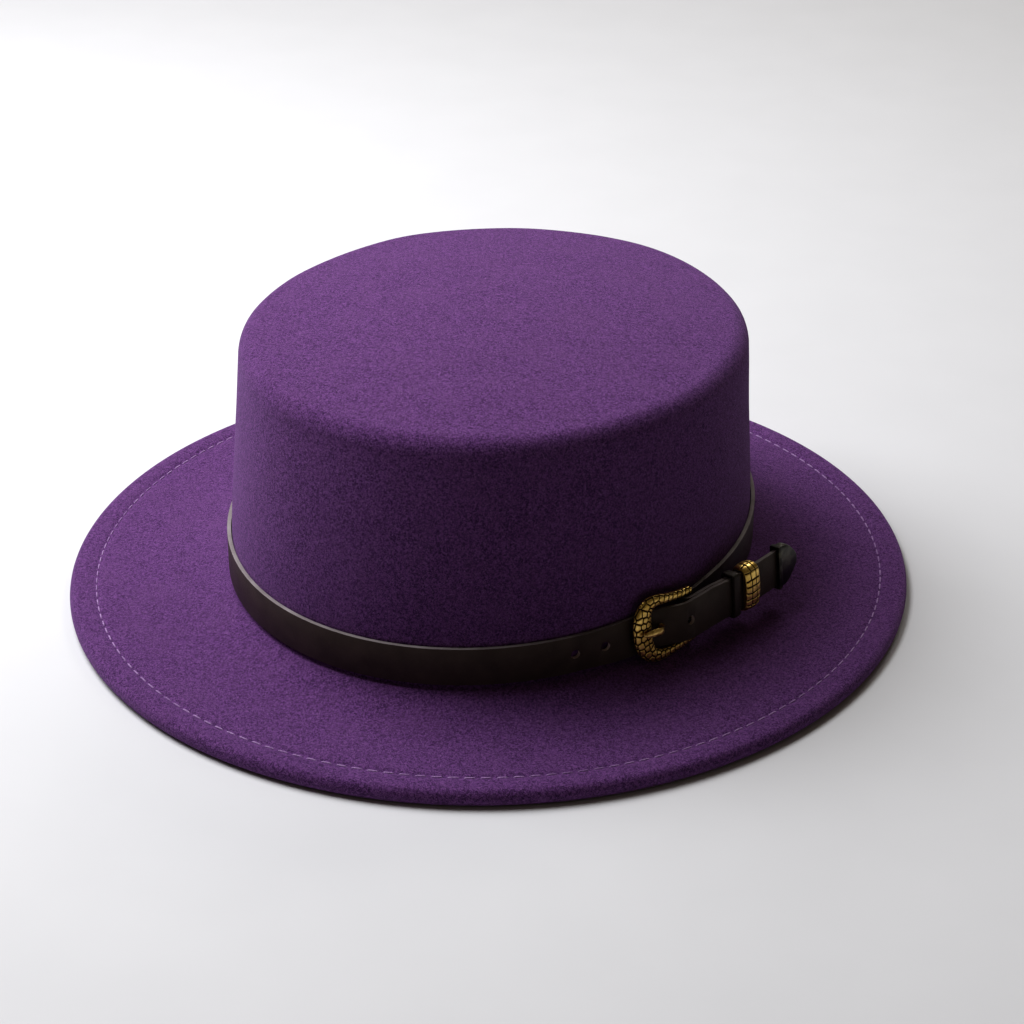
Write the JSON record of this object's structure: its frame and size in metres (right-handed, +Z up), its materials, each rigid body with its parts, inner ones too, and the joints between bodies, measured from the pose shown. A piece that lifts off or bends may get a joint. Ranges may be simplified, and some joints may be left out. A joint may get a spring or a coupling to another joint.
{
  "type": "wide-brim felt hat",
  "caption": "Flat-topped felt hat with a wide, gently dished brim, a stitched folded hem and a narrow leather belt with a western buckle, keepers and strap tip.",
  "frame": {"origin": "centre of the brim's footprint, on the surface the hat rests on", "axes": "+Z up through the crown, -Y towards the wearer's front, +X towards the wearer's left, where the buckle sits"},
  "size_m": [0.2816, 0.293, 0.0959],
  "materials": {
    "felt": "matt wool felt with a short nap",
    "leather": "smooth, low sheen",
    "brass": "antiqued, dark in the grooves",
    "black_metal": "blackened, satin"
  },
  "bodies": {
    "root": {"felt_body": "felt", "belt_strap": "leather", "buckle_frame": "brass", "buckle_tongue": "brass", "leather_keeper": "leather", "brass_keeper": "brass", "strap_tip": "black_metal"}
  },
  "joints": []
}
